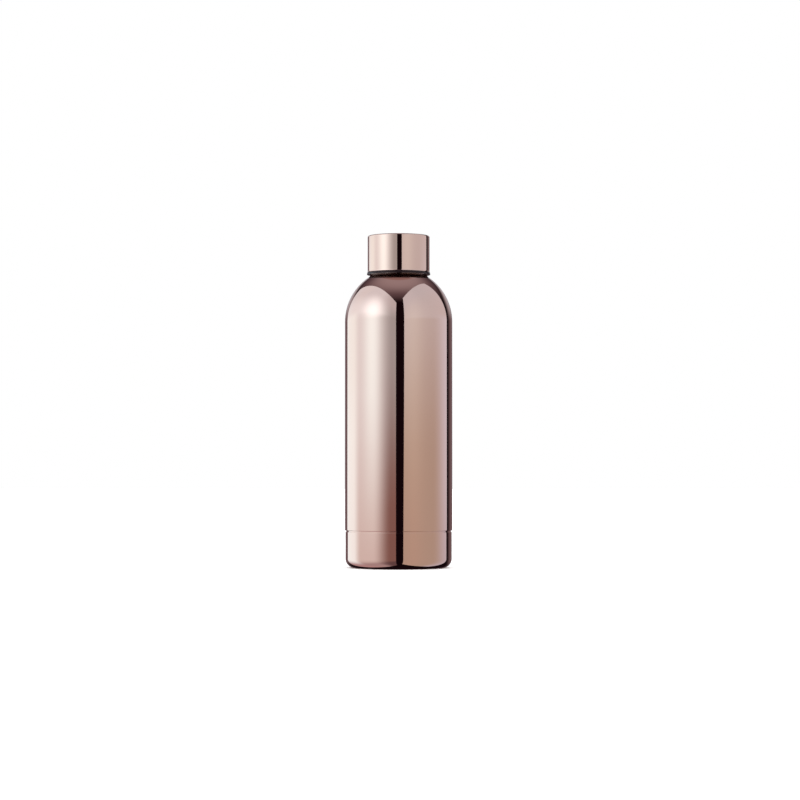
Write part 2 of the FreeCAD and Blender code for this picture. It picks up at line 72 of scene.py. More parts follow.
# Sizes in mm that no box of the frame gives
SHELL_SHEET = 0.45
LINER_SHEET = 0.4
BASE_SHEET = 0.5
CAP_SHEET = 0.45
DOME_CENTRE = 179.2
SEAM_HEIGHT = 27.1
SEAM_BEND = 0.5
SPIGOT_STEP = 1.0
COLLAR_RADIUS = 20.8
COLLAR_ROOT = 2.0
COLLAR_TOP = 214.0
COLLAR_BEND = 0.4
COLLAR_SLOPE = 1.3
NECK_RADIUS = 19.3
NECK_GAP = 0.9
THREAD_PITCH = 4.0
THREAD_DEPTH = 1.1
THREAD_CLEARANCE = 0.35
THREAD_FOOT = 2.2
THREAD_CREST = 1.0
THREAD_TAPER = 18.0     # degrees over which a ridge runs out at each end
NECK_THREAD_START = 218.2
NECK_THREAD_TURNS = 2.25
CAP_THREAD_DROP = 1.75
CAP_THREAD_TURNS = 1.75
BASE_CORNER = 6.7
BASE_RIM = 0.15
FOOT_RADIUS = 29.2
FOOT_RECESS = 1.6
FOOT_SLOPE = 1.8
FOOT_BEND = 0.6
LIP_BEND = 0.7
LINER_ROOT = 2.6
LINER_CORNER = 7.0
CROWN_RISE = 2.0
CROWN_MARGIN = 10.0
CROWN_SLOPE = 8.0
CAP_RADIUS = 22.6
CAP_CORNER = 1.1
FLARE_WIDTH = 0.2
FLARE_HEIGHT = 0.45
FLARE_ROOT = 1.8
RIM_STRAIGHT = 0.8
RIM_EDGE = 0.3
RIM_MOUTH = 0.5
RIM_DEPTH = 1.2
CONTACT_GAP = 0.05
WEB_HEIGHT = 1.7
WEB_BOTTOM = 235.5
PLUG_WALL = 1.4
PLUG_GROOVE = 0.8
PLUG_CORNER = 1.2
RIB_WIDTH = 1.2
RIB_COUNT = 8
SOFT_EDGE = 0.4


def reach(node):
    """Radius, lowest point and highest point of a CAD node, in mm."""
    low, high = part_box(node)
    return high.y / MM, low.z / MM, high.z / MM


SHELL_RADIUS, SHELL_BOTTOM, SHELL_TOP = reach("outer_shell")
BASE_RADIUS, _, BASE_TOP = reach("base_cup")
LINER_RADIUS, LINER_SEAM, LIP_TOP = reach("liner_body")
_, LINER_FLOOR, _ = reach("liner_bottom")
_, SKIN_BOTTOM, CAP_TOP = reach("cap_shell")
RIM_RADIUS, CAP_BOTTOM, SLEEVE_TOP = reach("threaded_sleeve")
PLUG_RADIUS, PLUG_BOTTOM, _ = reach("cap_plug")
SEAL_RADIUS, SEAL_BOTTOM, SEAL_TOP = reach("cap_seal")
FOAM_RADIUS, FOAM_BOTTOM, FOAM_TOP = reach("cap_foam")


# ---------------------------------------------------------------- outlines


def swing(centre, radius, first, last):
    """Samples (radius, height, normal) along an arc between two directions of the normal, in degrees.

    A negative radius makes a hollow bend.
    """
    steps = max(2, math.ceil(abs(last - first) / ARC_STEP))
    samples = []
    for step in range(steps + 1):
        angle = math.radians(first + (last - first) * step / steps)
        normal = (math.cos(angle), math.sin(angle))
        samples.append((centre[0] + radius * normal[0], centre[1] + radius * normal[1], *normal))
    return samples


def side_normal(start, end):
    """Normal of a straight line, on the right of its direction."""
    length = math.dist(start, end)
    return (end[1] - start[1]) / length, (start[0] - end[0]) / length


def bend_at(before, corner, after, bend):
    """Samples round a corner: an arc of the given radius, or the corner itself once for each side."""
    into = side_normal(before, corner)
    out = side_normal(corner, after)
    if not bend:
        return [(*corner, *into), (*corner, *out)]
    first = math.atan2(into[1], into[0])
    turn = math.atan2(into[0] * out[1] - into[1] * out[0], into[0] * out[0] + into[1] * out[1])
    setback = bend * math.tan(abs(turn) / 2)
    signed = math.copysign(bend, turn)
    start = (corner[0] + setback * into[1], corner[1] - setback * into[0])
    centre = (start[0] - signed * into[0], start[1] - signed * into[1])
    return swing(centre, signed, math.degrees(first), math.degrees(first + turn))


def outline(*parts):
    """Samples round a closed outline.

    Each part is a corner (radius, height), a bent corner (radius, height, bend) or a ready list of samples.
    """
    def end(part, which):
        return part[which][:2] if isinstance(part, list) else part[:2]

    samples = []
    for index, part in enumerate(parts):
        if isinstance(part, list):
            samples += part
            continue
        before = end(parts[index - 1], -1)
        after = end(parts[(index + 1) % len(parts)], 0)
        bend = part[2] if len(part) == 3 else 0
        samples += bend_at(before, part[:2], after, bend)
    return samples


def dome(radius, neck, root):
    """Samples up a dome from the straight wall and through a hollow bend to the neck."""
    reach_out = neck + root
    meeting = math.degrees(math.acos(reach_out / (radius + root)))
    root_height = DOME_CENTRE + math.sqrt((radius + root) ** 2 - reach_out ** 2)
    return (swing((0, DOME_CENTRE), radius, 0, meeting)
            + swing((reach_out, root_height), -root, meeting, 0))


def turned_over(samples):
    """The same line as the other face of a sheet: run backwards, with its normals turned round."""
    return [(radius, height, -across, -up) for radius, height, across, up in reversed(samples)]


def rows_between(radius, low, high, across):
    """Samples up or down a straight wall, close enough together to carry a thread."""
    count = math.ceil(abs(high - low) / THREAD_STEP)
    return [(radius, low + (high - low) * step / count, across, 0) for step in range(count + 1)]


# ---------------------------------------------------------------- meshes


def smooth_step(value):
    """Smooth rise from 0 to 1 while the value goes from 0 to 1, level outside."""
    value = min(max(value, 0.0), 1.0)
    return value * value * (3 - 2 * value)


def thread_ridge(start, turns, height, angle):
    """Share of the thread's full depth at a place on the wall, for a right-hand thread."""
    best = 0.0
    sweep = TURN * turns
    taper = math.radians(THREAD_TAPER)
    turn = angle
    while turn <= sweep:
        off = abs(height - start - THREAD_PITCH * turn / TURN)
        flank = (THREAD_FOOT / 2 - off) / ((THREAD_FOOT - THREAD_CREST) / 2)
        ends = min(turn, sweep - turn) / taper
        best = max(best, smooth_step(flank) * smooth_step(ends))
        turn += TURN
    return best


def threaded(wall, depth, start, turns):
    """Lift of a threaded wall: how far it stands off its own radius at a height and an angle."""
    def lift(radius, height, angle):
        if abs(radius - wall) > CONTACT_GAP:
            return 0.0
        return depth * thread_ridge(start, turns, height, angle)
    return lift


def lifted_normal(sample, angle, lift):
    """Normal of a straight wall with a thread on it, from the slope of the thread."""
    radius, height, across, _ = sample
    above = lift(radius, height + SLOPE_STEP, angle)
    below = lift(radius, height - SLOPE_STEP, angle)
    up = (above - below) / (2 * SLOPE_STEP)
    turn = SLOPE_STEP / radius
    ahead = lift(radius, height, (angle + turn) % TURN)
    behind = lift(radius, height, (angle - turn) % TURN)
    along = (ahead - behind) / (2 * SLOPE_STEP)
    return Vector((across, -along * across, -up * across)).normalized()


def placed(name, data):
    """New object in the scene with the given mesh or camera."""
    made = bpy.data.objects.new(name, data)
    bpy.context.scene.collection.objects.link(made)
    return made


def lathe(name, samples, lift=None):
    """Turns a closed outline about the axis into one closed mesh that keeps the outline's own normals."""
    angles = [TURN * step / SEGMENTS for step in range(SEGMENTS)]
    vertices = []
    rings = []
    for radius, height, _, _ in samples:
        place = (round(radius, SAME_PLACE), round(height, SAME_PLACE))
        if rings and rings[-1][0] == place:
            rings.append(rings[-1])
            continue
        if rings and rings[0][0] == place:
            rings.append(rings[0])
            continue
        first = len(vertices)
        if radius < ON_AXIS:
            vertices.append((0.0, 0.0, height * MM))
            rings.append((place, [first] * SEGMENTS))
            continue
        for angle in angles:
            wide = radius + (lift(radius, height, angle) if lift else 0.0)
            vertices.append((wide * math.cos(angle) * MM, wide * math.sin(angle) * MM, height * MM))
        rings.append((place, list(range(first, first + SEGMENTS))))

    def normal_at(sample, step):
        angle = angles[step]
        across, along, up = sample[2], 0.0, sample[3]
        if lift and abs(up) < LEVEL:
            across, along, up = lifted_normal(sample, angle, lift)
        return (across * math.cos(angle) - along * math.sin(angle),
                across * math.sin(angle) + along * math.cos(angle), up)

    faces = []
    normals = []
    for index, lower in enumerate(samples):
        upper_index = (index + 1) % len(samples)
        upper = samples[upper_index]
        low_ring, high_ring = rings[index][1], rings[upper_index][1]
        if rings[index][0] == rings[upper_index][0] or max(lower[0], upper[0]) < ON_AXIS:
            continue
        low_normals = [normal_at(lower, step) for step in range(SEGMENTS)]
        high_normals = [normal_at(upper, step) for step in range(SEGMENTS)]
        for step in range(SEGMENTS):
            after = (step + 1) % SEGMENTS
            corners = [
                (low_ring[step], low_normals[step]),
                (low_ring[after], low_normals[after]),
                (high_ring[after], high_normals[after]),
                (high_ring[step], high_normals[step]),
            ]
            if low_ring[step] == low_ring[after]:
                corners.pop(1)
            elif high_ring[step] == high_ring[after]:
                corners.pop(2)
            faces.append([vertex for vertex, _ in corners])
            normals += [normal for _, normal in corners]

    mesh = bpy.data.meshes.new(name)
    mesh.from_pydata(vertices, [], faces)
    mesh.polygons.foreach_set("use_smooth", [True] * len(faces))
    mesh.normals_split_custom_set(normals)
    mesh.update()
    return placed(name, mesh)


# ---------------------------------------------------------------- materials


MIX_COLOURS = (6, 7)    # places of the two colour inputs of a Mix node


class Nodes:
    """A node tree with short calls for the nodes that the materials and the world share."""

    def __init__(self, tree):
        self.tree = tree

    def feed(self, socket, value):
        """Gives a socket a link, if the value is another socket, or else a fixed value."""
        if isinstance(value, bpy.types.NodeSocket):
            self.tree.links.new(value, socket)
        else:
            socket.default_value = value

    def add(self, kind, settings=None, **inputs):
        """New node. An input is given by its name, or as i0, i1 and so on by its place."""
        node = self.tree.nodes.new(kind)
        for key, value in (settings or {}).items():
            setattr(node, key, value)
        for key, value in inputs.items():
            numbered = key[0] == "i" and key[1:].isdigit()
            self.feed(node.inputs[int(key[1:]) if numbered else key], value)
        return node

    def maths(self, operation, first, second):
        return self.add("ShaderNodeMath", {"operation": operation}, i0=first, i1=second).outputs[0]

    def spread(self, value, low, high, start=0.35, end=0.65):
        """The value, stretched smoothly from start..end to low..high."""
        node = self.add("ShaderNodeMapRange", {"interpolation_type": "SMOOTHSTEP"}, Value=value)
        limits = {"From Min": start, "From Max": end, "To Min": low, "To Max": high}
        for name, limit in limits.items():
            self.feed(node.inputs[name], limit)
        return node.outputs["Result"]

    def mix(self, factor, first, second):
        """Colour between two others, each of them a tone or a socket."""
        node = self.add("ShaderNodeMix", {"data_type": "RGBA"}, Factor=factor)
        for place, colour in zip(MIX_COLOURS, (first, second)):
            fixed = not isinstance(colour, bpy.types.NodeSocket)
            self.feed(node.inputs[place], (*colour, 1.0) if fixed else colour)
        return node.outputs[2]


class Surface(Nodes):
    """A Principled material whose texture nodes are added with short calls."""

    def __init__(self, name, **uniform):
        self.material = bpy.data.materials.new(name)
        self.material.use_nodes = True
        super().__init__(self.material.node_tree)
        self.shader = self.tree.nodes["Principled BSDF"]
        for socket, value in uniform.items():
            self.feed(self.shader.inputs[socket.replace("_", " ")], value)
        self.place = self.add("ShaderNodeTexCoord").outputs["Object"]

    def stretched(self, across, up):
        """Coordinates that change slowly round the axis and quickly up or out from it, as lathe lines do."""
        level = (1.0, 1.0, 0.0)
        flat = self.add("ShaderNodeVectorMath", {"operation": "MULTIPLY"}, i0=self.place, i1=level)
        out = self.add("ShaderNodeVectorMath", {"operation": "LENGTH"}, i0=flat.outputs[0])
        split = self.add("ShaderNodeSeparateXYZ", Vector=self.place).outputs
        run = self.maths("MULTIPLY", self.maths("ADD", out.outputs["Value"], split["Z"]), up)
        wide = [self.maths("MULTIPLY", split[axis], across) for axis in ("X", "Y")]
        return self.add("ShaderNodeCombineXYZ", X=wide[0], Y=wide[1], Z=run).outputs[0]

    def noise(self, scale, detail=2.0, vector=None, roughness=0.5):
        place = self.place if vector is None else vector
        node = self.add("ShaderNodeTexNoise", Vector=place, Scale=scale, Detail=detail, Roughness=roughness)
        return node.outputs["Fac"]

    def cells(self, scale):
        return self.add("ShaderNodeTexVoronoi", Vector=self.place, Scale=scale).outputs["Distance"]

    def colour(self, factor, first, second):
        """Base colour between two tones."""
        self.feed(self.shader.inputs["Base Color"], self.mix(factor, first, second))

    def roughness(self, value):
        self.feed(self.shader.inputs["Roughness"], value)

    def bumps(self, *layers):
        """Layers of (height, depth in metres), laid over each other."""
        normal = None
        for height, depth in layers:
            node = self.add("ShaderNodeBump", Height=height, Distance=depth, Strength=1.0)
            if normal is not None:
                self.feed(node.inputs["Normal"], normal)
            normal = node.outputs["Normal"]
        self.feed(self.shader.inputs["Normal"], normal)


def copper_plate(name, first, second):
    """Mirror-polished plating: faint tone, polishing lines, a few smudges and the swell of drawn sheet."""
    surface = Surface(name, Metallic=1.0)
    polishing = surface.stretched(across=25.0, up=5200.0)
    lines = surface.noise(scale=1.0, detail=3.0, vector=polishing)
    smudges = surface.spread(surface.noise(scale=38.0, detail=5.0), 0.0, 0.03, start=0.52, end=0.74)
    surface.colour(surface.noise(scale=24.0, detail=3.0), first, second)
    surface.roughness(surface.maths("ADD", surface.spread(lines, 0.025, 0.045), smudges))
    surface.bumps((surface.noise(scale=95.0, detail=1.0), 3 * MICRON), (lines, 0.4 * MICRON))
    return surface.material


def bare_steel():
    """Satin stainless steel with fine turning lines."""
    surface = Surface("bare_steel", Metallic=1.0, Anisotropic=0.4)
    turning = surface.stretched(across=18.0, up=3600.0)
    lines = surface.noise(scale=1.0, detail=4.0, vector=turning, roughness=0.6)
    surface.colour(surface.noise(scale=30.0, detail=3.0), (0.60, 0.59, 0.57), (0.66, 0.65, 0.63))
    surface.roughness(surface.spread(lines, 0.24, 0.36))
    surface.bumps((surface.noise(scale=60.0, detail=1.0), 6 * MICRON), (lines, 2 * MICRON))
    return surface.material


def copper_foil():
    """Thin rolled copper, a little tarnished and creased."""
    surface = Surface("copper_foil", Metallic=1.0)
    surface.colour(surface.noise(scale=45.0, detail=5.0), (0.80, 0.43, 0.30), (0.70, 0.36, 0.25))
    surface.roughness(surface.spread(surface.noise(scale=160.0, detail=4.0), 0.22, 0.42))
    surface.bumps((surface.noise(scale=120.0, detail=3.0), 60 * MICRON))
    return surface.material


def cap_plastic():
    """Moulded black polypropylene, satin with a fine grain."""
    surface = Surface("cap_plastic", IOR=1.39, Specular_Tint=(1.0, 0.66, 0.66, 1.0))
    grain = surface.noise(scale=2600.0, detail=3.0)
    surface.colour(surface.noise(scale=40.0, detail=3.0), (0.005, 0.003, 0.004), (0.008, 0.005, 0.006))
    surface.roughness(surface.spread(grain, 0.18, 0.30))
    surface.bumps((grain, 4 * MICRON))
    return surface.material


def silicone():
    """Milky silicone, slightly dusty."""
    surface = Surface("silicone", IOR=1.41, Subsurface_Weight=0.35, Subsurface_Scale=0.002)
    surface.colour(surface.noise(scale=120.0, detail=4.0), (0.60, 0.59, 0.56), (0.66, 0.65, 0.62))
    surface.roughness(surface.spread(surface.noise(scale=700.0, detail=3.0), 0.38, 0.5))
    surface.bumps((surface.noise(scale=900.0, detail=2.0), 8 * MICRON))
    return surface.material


def foam():
    """Closed-cell foam with its small open bubbles on the sliced faces, each bubble's hollow painted darker
    as shade.
    """
    surface = Surface("foam")
    bubbles = surface.cells(scale=1100.0)
    painted_pit_shade = surface.spread(bubbles, 0.0, 1.0, start=0.1, end=0.6)
    # Base colour darker towards each bubble's middle: painted shade in the hollows.
    surface.colour(painted_pit_shade, (0.50, 0.49, 0.46), (0.70, 0.69, 0.66))
    surface.roughness(surface.spread(bubbles, 0.75, 0.92, start=0.1, end=0.6))
    surface.bumps((bubbles, 250 * MICRON))
    return surface.material


def solder_glass():
    """Fused grey-green solder glass with tiny trapped bubbles."""
    surface = Surface("solder_glass", IOR=1.62, Coat_Weight=0.4)
    surface.colour(surface.noise(scale=500.0, detail=4.0), (0.16, 0.20, 0.17), (0.24, 0.28, 0.24))
    surface.roughness(surface.spread(surface.cells(scale=1500.0), 0.12, 0.26, start=0.1, end=0.5))
    surface.bumps((surface.noise(scale=420.0, detail=2.0), 40 * MICRON))
    return surface.material


def getter_alloy():
    """Pressed and sintered metal powder."""
    surface = Surface("getter_alloy", Metallic=0.8)
    grains = surface.cells(scale=5200.0)
    surface.colour(surface.noise(scale=1800.0, detail=3.0), (0.13, 0.125, 0.12), (0.22, 0.215, 0.21))
    surface.roughness(surface.spread(grains, 0.55, 0.8, start=0.1, end=0.6))
    surface.bumps((grains, 30 * MICRON))
    return surface.material


MATERIALS = {
    "copper_plate": copper_plate("copper_plate", (0.885, 0.615, 0.525), (0.865, 0.59, 0.50)),
    # The cap's plate: the same plating with a more golden base colour, a painted warm reflection.
    "painted_warm_light_plate": copper_plate("painted_warm_light_plate", (0.885, 0.60, 0.50), (0.865, 0.58, 0.475)),
    "bare_steel": bare_steel(),
    "copper_foil": copper_foil(),
    "cap_plastic": cap_plastic(),
    "silicone": silicone(),
    "foam": foam(),
    "solder_glass": solder_glass(),
    "getter_alloy": getter_alloy(),
}


# ---------------------------------------------------------------- pieces


def install(piece, body, slot, *nodes, finish=None):
    """Gives a piece its finish and its body, and lets it stand for its CAD nodes.

    The finish has the slot's name unless another is given.
    """
    piece.data.materials.clear()
    piece.data.materials.append(MATERIALS[finish or slot])
    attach(piece, body)
    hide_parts(*nodes)


def shell():
    """Plated outer sheet: spigot, wall, dome, collar and threaded neck."""
    spigot = SHELL_RADIUS - SPIGOT_STEP
    inside = SHELL_RADIUS - SHELL_SHEET
    neck_inside = NECK_RADIUS - SHELL_SHEET
    slope_top = COLLAR_TOP + COLLAR_SLOPE
    outside_dome = dome(SHELL_RADIUS, COLLAR_RADIUS, COLLAR_ROOT)
    inside_dome = dome(inside, COLLAR_RADIUS - SHELL_SHEET, COLLAR_ROOT + SHELL_SHEET)
    thread_low = NECK_THREAD_START - THREAD_FOOT
    thread_high = NECK_THREAD_START + THREAD_PITCH * NECK_THREAD_TURNS + THREAD_FOOT
    samples = outline(
        (spigot, SHELL_BOTTOM),
        (spigot, SEAM_HEIGHT),
        (SHELL_RADIUS, SEAM_HEIGHT, SEAM_BEND),
        outside_dome,
        (COLLAR_RADIUS, COLLAR_TOP, COLLAR_BEND),
        (NECK_RADIUS, slope_top),
        rows_between(NECK_RADIUS, thread_low, thread_high, 1),
        (NECK_RADIUS, SHELL_TOP),
        (neck_inside, SHELL_TOP),
        (neck_inside, slope_top),
        (COLLAR_RADIUS - SHELL_SHEET, COLLAR_TOP),
        turned_over(inside_dome),
        (inside, SEAM_HEIGHT + SHELL_SHEET),
        (spigot - SHELL_SHEET, SEAM_HEIGHT + SHELL_SHEET),
        (spigot - SHELL_SHEET, SHELL_BOTTOM),
    )
    lift = threaded(NECK_RADIUS, THREAD_DEPTH, NECK_THREAD_START, NECK_THREAD_TURNS)
    install(lathe("plated_shell", samples, lift), "bottle", "copper_plate", "outer_shell")


def base():
    """Plated base cup with its foot ring and raised panel."""
    inside = BASE_RADIUS - BASE_SHEET
    panel_edge = FOOT_RADIUS - FOOT_SLOPE
    samples = outline(
        (0, FOOT_RECESS),
        (panel_edge, FOOT_RECESS, FOOT_BEND),
        (FOOT_RADIUS, 0, FOOT_BEND),
        (BASE_RADIUS, 0, BASE_CORNER),
        (BASE_RADIUS, BASE_TOP, BASE_RIM),
        (inside, BASE_TOP, BASE_RIM),
        (inside, BASE_SHEET, BASE_CORNER - BASE_SHEET),
        (FOOT_RADIUS, BASE_SHEET, FOOT_BEND),
        (panel_edge, FOOT_RECESS + BASE_SHEET, FOOT_BEND),
        (0, FOOT_RECESS + BASE_SHEET),
    )
    install(lathe("plated_base", samples), "bottle", "copper_plate", "base_cup")


def liner():
    """Steel inner bottle with its rolled lip."""
    inside = LINER_RADIUS - LINER_SHEET
    neck_outside = NECK_RADIUS - SHELL_SHEET - NECK_GAP
    mouth = neck_outside - LINER_SHEET
    samples = outline(
        (LINER_RADIUS, LINER_SEAM),
        dome(LINER_RADIUS, neck_outside, LINER_ROOT),
        (neck_outside, SHELL_TOP),
        (NECK_RADIUS, SHELL_TOP),
        (NECK_RADIUS, LIP_TOP, LIP_BEND),
        (mouth, LIP_TOP, LIP_BEND),
        turned_over(dome(inside, mouth, LINER_ROOT + LINER_SHEET)),
        (inside, LINER_SEAM),
    )
    install(lathe("steel_liner", samples), "bottle", "bare_steel", "liner_body")


def liner_bottom():
    """Pressed bottom of the inner bottle."""
    inside = LINER_RADIUS - LINER_SHEET
    slope_foot = LINER_RADIUS - CROWN_MARGIN
    slope_head = slope_foot - CROWN_SLOPE
    floor_top = LINER_FLOOR + LINER_SHEET
    samples = outline(
        (0, LINER_FLOOR + CROWN_RISE),
        (slope_head, LINER_FLOOR + CROWN_RISE, CROWN_SLOPE),
        (slope_foot, LINER_FLOOR, CROWN_SLOPE),
        (LINER_RADIUS, LINER_FLOOR, LINER_CORNER),
        (LINER_RADIUS, LINER_SEAM),
        (inside, LINER_SEAM),
        (inside, floor_top, LINER_CORNER - LINER_SHEET),
        (slope_foot, floor_top, CROWN_SLOPE),
        (slope_head, floor_top + CROWN_RISE, CROWN_SLOPE),
        (0, floor_top + CROWN_RISE),
    )
    install(lathe("steel_liner_bottom", samples), "bottle", "bare_steel", "liner_bottom")


def cap_skin():
    """Plated skin of the cap, its base colour a shade more golden than the bottle's as a painted warm
    reflection, its lower edge turned out a little.
    """
    inside = CAP_RADIUS - CAP_SHEET
    flare_top = SKIN_BOTTOM + FLARE_HEIGHT
    ceiling = CAP_TOP - CAP_SHEET
    samples = outline(
        (0, ceiling),
        (inside, ceiling, CAP_CORNER - CAP_SHEET),
        (inside, flare_top, FLARE_ROOT),
        (inside + FLARE_WIDTH, SKIN_BOTTOM),
        (CAP_RADIUS + FLARE_WIDTH, SKIN_BOTTOM),
        (CAP_RADIUS, flare_top, FLARE_ROOT),
        (CAP_RADIUS, CAP_TOP, CAP_CORNER),
        (0, CAP_TOP),
    )
    install(lathe("plated_cap", samples), "cap", "copper_plate", "cap_shell", finish="painted_warm_light_plate")


def sleeve():
    """Black moulding of the cap: rim under the skin, threaded sleeve, web and the ring round the foam."""
    outside = CAP_RADIUS - CAP_SHEET - CONTACT_GAP
    inside = NECK_RADIUS + THREAD_DEPTH + THREAD_CLEARANCE
    mouth = COLLAR_RADIUS + RIM_MOUTH
    mouth_top = CAP_BOTTOM + RIM_DEPTH
    rim_top = SKIN_BOTTOM - CONTACT_GAP
    web_top = WEB_BOTTOM + WEB_HEIGHT
    plug_inside = PLUG_RADIUS - PLUG_WALL
    thread_start = NECK_THREAD_START - CAP_THREAD_DROP
    thread_low = thread_start - THREAD_FOOT / 2
    thread_high = thread_start + THREAD_PITCH * CAP_THREAD_TURNS + THREAD_FOOT
    samples = outline(
        (mouth, CAP_BOTTOM, RIM_EDGE),
        (RIM_RADIUS, CAP_BOTTOM, RIM_EDGE),
        (RIM_RADIUS, CAP_BOTTOM + RIM_STRAIGHT, SOFT_EDGE),
        (CAP_RADIUS + FLARE_WIDTH, rim_top),
        (outside, rim_top),
        (outside, SLEEVE_TOP, CAP_CORNER - CAP_SHEET),
        (inside, SLEEVE_TOP),
        (inside, web_top),
        (PLUG_RADIUS - PLUG_GROOVE, web_top),
        (PLUG_RADIUS - PLUG_GROOVE, SLEEVE_TOP),
        (plug_inside, SLEEVE_TOP),
        (plug_inside, WEB_BOTTOM),
        (inside, WEB_BOTTOM),
        rows_between(inside, thread_high, thread_low, -1),
        (inside, mouth_top, SOFT_EDGE / 2),
        (mouth, mouth_top),
    )
    lift = threaded(inside, -THREAD_DEPTH, thread_start, CAP_THREAD_TURNS)
    moulding = lathe("cap_moulding", samples, lift)
    add_ribs(moulding, PLUG_RADIUS - PLUG_GROOVE - SOFT_EDGE, inside + SOFT_EDGE, web_top - SOFT_EDGE)
    install(moulding, "cap", "cap_plastic", "threaded_sleeve")


def add_ribs(moulding, inner, outer, bottom):
    """Joins radial ribs, each sunk a little into the moulding, to it."""
    vertices = []
    faces = []
    box_faces = ((0, 3, 2, 1), (4, 5, 6, 7), (0, 1, 5, 4), (1, 2, 6, 5), (2, 3, 7, 6), (3, 0, 4, 7))
    for rib in range(RIB_COUNT):
        angle = TURN * rib / RIB_COUNT
        out = Vector((math.cos(angle), math.sin(angle), 0))
        side = Vector((-math.sin(angle), math.cos(angle), 0)) * RIB_WIDTH / 2
        first = len(vertices)
        for height in (bottom, SLEEVE_TOP):
            level = Vector((0, 0, height))
            for along, across in ((inner, -side), (outer, -side), (outer, side), (inner, side)):
                vertices.append((out * along + across + level) * MM)
        for corners in box_faces:
            faces.append([first + corner for corner in corners])
    mesh = bpy.data.meshes.new("ribs")
    mesh.from_pydata(vertices, [], faces)
    ribs = placed("ribs", mesh)
    union = moulding.modifiers.new("ribs", "BOOLEAN")
    union.operation = "UNION"
    union.solver = "EXACT"
    union.object = ribs
    evaluated = moulding.evaluated_get(bpy.context.evaluated_depsgraph_get())
    joined = bpy.data.meshes.new_from_object(evaluated)
    moulding.modifiers.clear()
    moulding.data = joined
    joined.set_sharp_from_angle(angle=math.radians(SHARP_EDGE))
    bpy.data.objects.remove(ribs)


def plug():
    """Black cup that hangs into the mouth."""
    shoulder = SEAL_BOTTOM - CONTACT_GAP
    plug_inside = PLUG_RADIUS - PLUG_WALL
    groove = PLUG_RADIUS - PLUG_GROOVE
    samples = outline(
        (0, PLUG_BOTTOM),
        (PLUG_RADIUS, PLUG_BOTTOM, PLUG_CORNER),
        (PLUG_RADIUS, shoulder, SOFT_EDGE / 2),
        (groove, shoulder),
        (groove, WEB_BOTTOM),
        (plug_inside, WEB_BOTTOM),
        (plug_inside, PLUG_BOTTOM + PLUG_WALL),
        (0, PLUG_BOTTOM + PLUG_WALL),
    )
    install(lathe("cap_plug_cup", samples), "cap", "cap_plastic", "cap_plug")


def foam_puck():
    """Foam that fills the plug."""
    samples = outline(
        (0, FOAM_BOTTOM),
        (FOAM_RADIUS, FOAM_BOTTOM, SOFT_EDGE),
        (FOAM_RADIUS, FOAM_TOP, SOFT_EDGE),
        (0, FOAM_TOP),
    )
    install(lathe("foam_puck", samples), "cap", "foam", "cap_foam")


def seal():
    """Silicone ring under the web."""
    inside = PLUG_RADIUS - PLUG_GROOVE + CONTACT_GAP
    samples = outline(
        (inside, SEAL_BOTTOM, SOFT_EDGE / 2),
        (SEAL_RADIUS, SEAL_BOTTOM, SOFT_EDGE),
        (SEAL_RADIUS, SEAL_TOP, SOFT_EDGE),
        (inside, SEAL_TOP, SOFT_EDGE / 2),
    )
    install(lathe("seal_ring", samples), "seal", "silicone", "cap_seal")


def lining():
    """Copper foil round the liner."""
    outside, bottom, top = reach("copper_lining")
    inside = LINER_RADIUS + CONTACT_GAP
    samples = outline((inside, bottom), (outside, bottom), (outside, top), (inside, top))
    install(lathe("copper_foil_wrap", samples), "bottle", "copper_foil", "copper_lining")


def carried_over():
    """Gives every CAD node that the frame keeps the finish of its own slot."""
    slots = {part["node"]: part["material_slot"] for part in frame["record"]["subparts"]}
    for node, made in frame["nodes"].items():
        made.data.materials.clear()
        made.data.materials.append(MATERIALS[slots[node]])


for build in (shell, base, liner, liner_bottom, lining, cap_skin, sleeve, plug, foam_puck, seal):
    build()
carried_over()


# ---------------------------------------------------------------- studio

# Bearings are degrees round the bottle from the camera's side of it, positive to the right. Places and
# heights are metres from the foot of the bottle, and tones are the light's red, green and blue.
PANEL_DISTANCE = 0.75
PANEL_COLUMNS = 90
PANEL_LEVELS = 120
FLOOR_HALF = 6.0
DARK = (0.0, 0.0, 0.0)
FILL_LIGHT = (1.8, 1.8, 1.8)
BACKDROP = (1.0, 1.0, 1.0)
CAMERA_PLACE = (0.0, -1.782, 0.074)
CAMERA_AIM = (0.001, 0.0, 0.1221)
LENS = 110              # mm
SENSOR = 36             # mm
CLIP_END = 30           # metres


def staged(piece, camera, glossy, diffuse):
    """Says which rays see a piece of the studio."""
    piece.visible_camera = camera
    piece.visible_glossy = glossy
    piece.visible_diffuse = diffuse


def softbox(name, facing, bottom, top, edges, tone):
    """Flat upright light panel that stands square to a bearing, and that only reflections see.

    Its two edges are bearings that depend on the height, and its tone depends on bearing and height.
    """
    vertices = []
    colours = []
    faces = []
    across = math.radians(facing)
    for column in range(PANEL_COLUMNS + 1):
        for level in range(PANEL_LEVELS + 1):
            height = bottom + (top - bottom) * level / PANEL_LEVELS
            first, last = edges(height)
            bearing = first + (last - first) * column / PANEL_COLUMNS
            off = PANEL_DISTANCE * math.tan(math.radians(bearing - facing))
            x = PANEL_DISTANCE * math.sin(across) + off * math.cos(across)
            y = -PANEL_DISTANCE * math.cos(across) + off * math.sin(across)
            vertices.append((x, y, height))
            colours.append((*tone(bearing, height), 1.0))
    row = PANEL_LEVELS + 1
    for column in range(PANEL_COLUMNS):
        for level in range(PANEL_LEVELS):
            corner = column * row + level
            faces.append((corner, corner + row, corner + row + 1, corner + 1))
    staged(glowing_mesh(name, vertices, faces, colours), camera=False, glossy=True, diffuse=False)


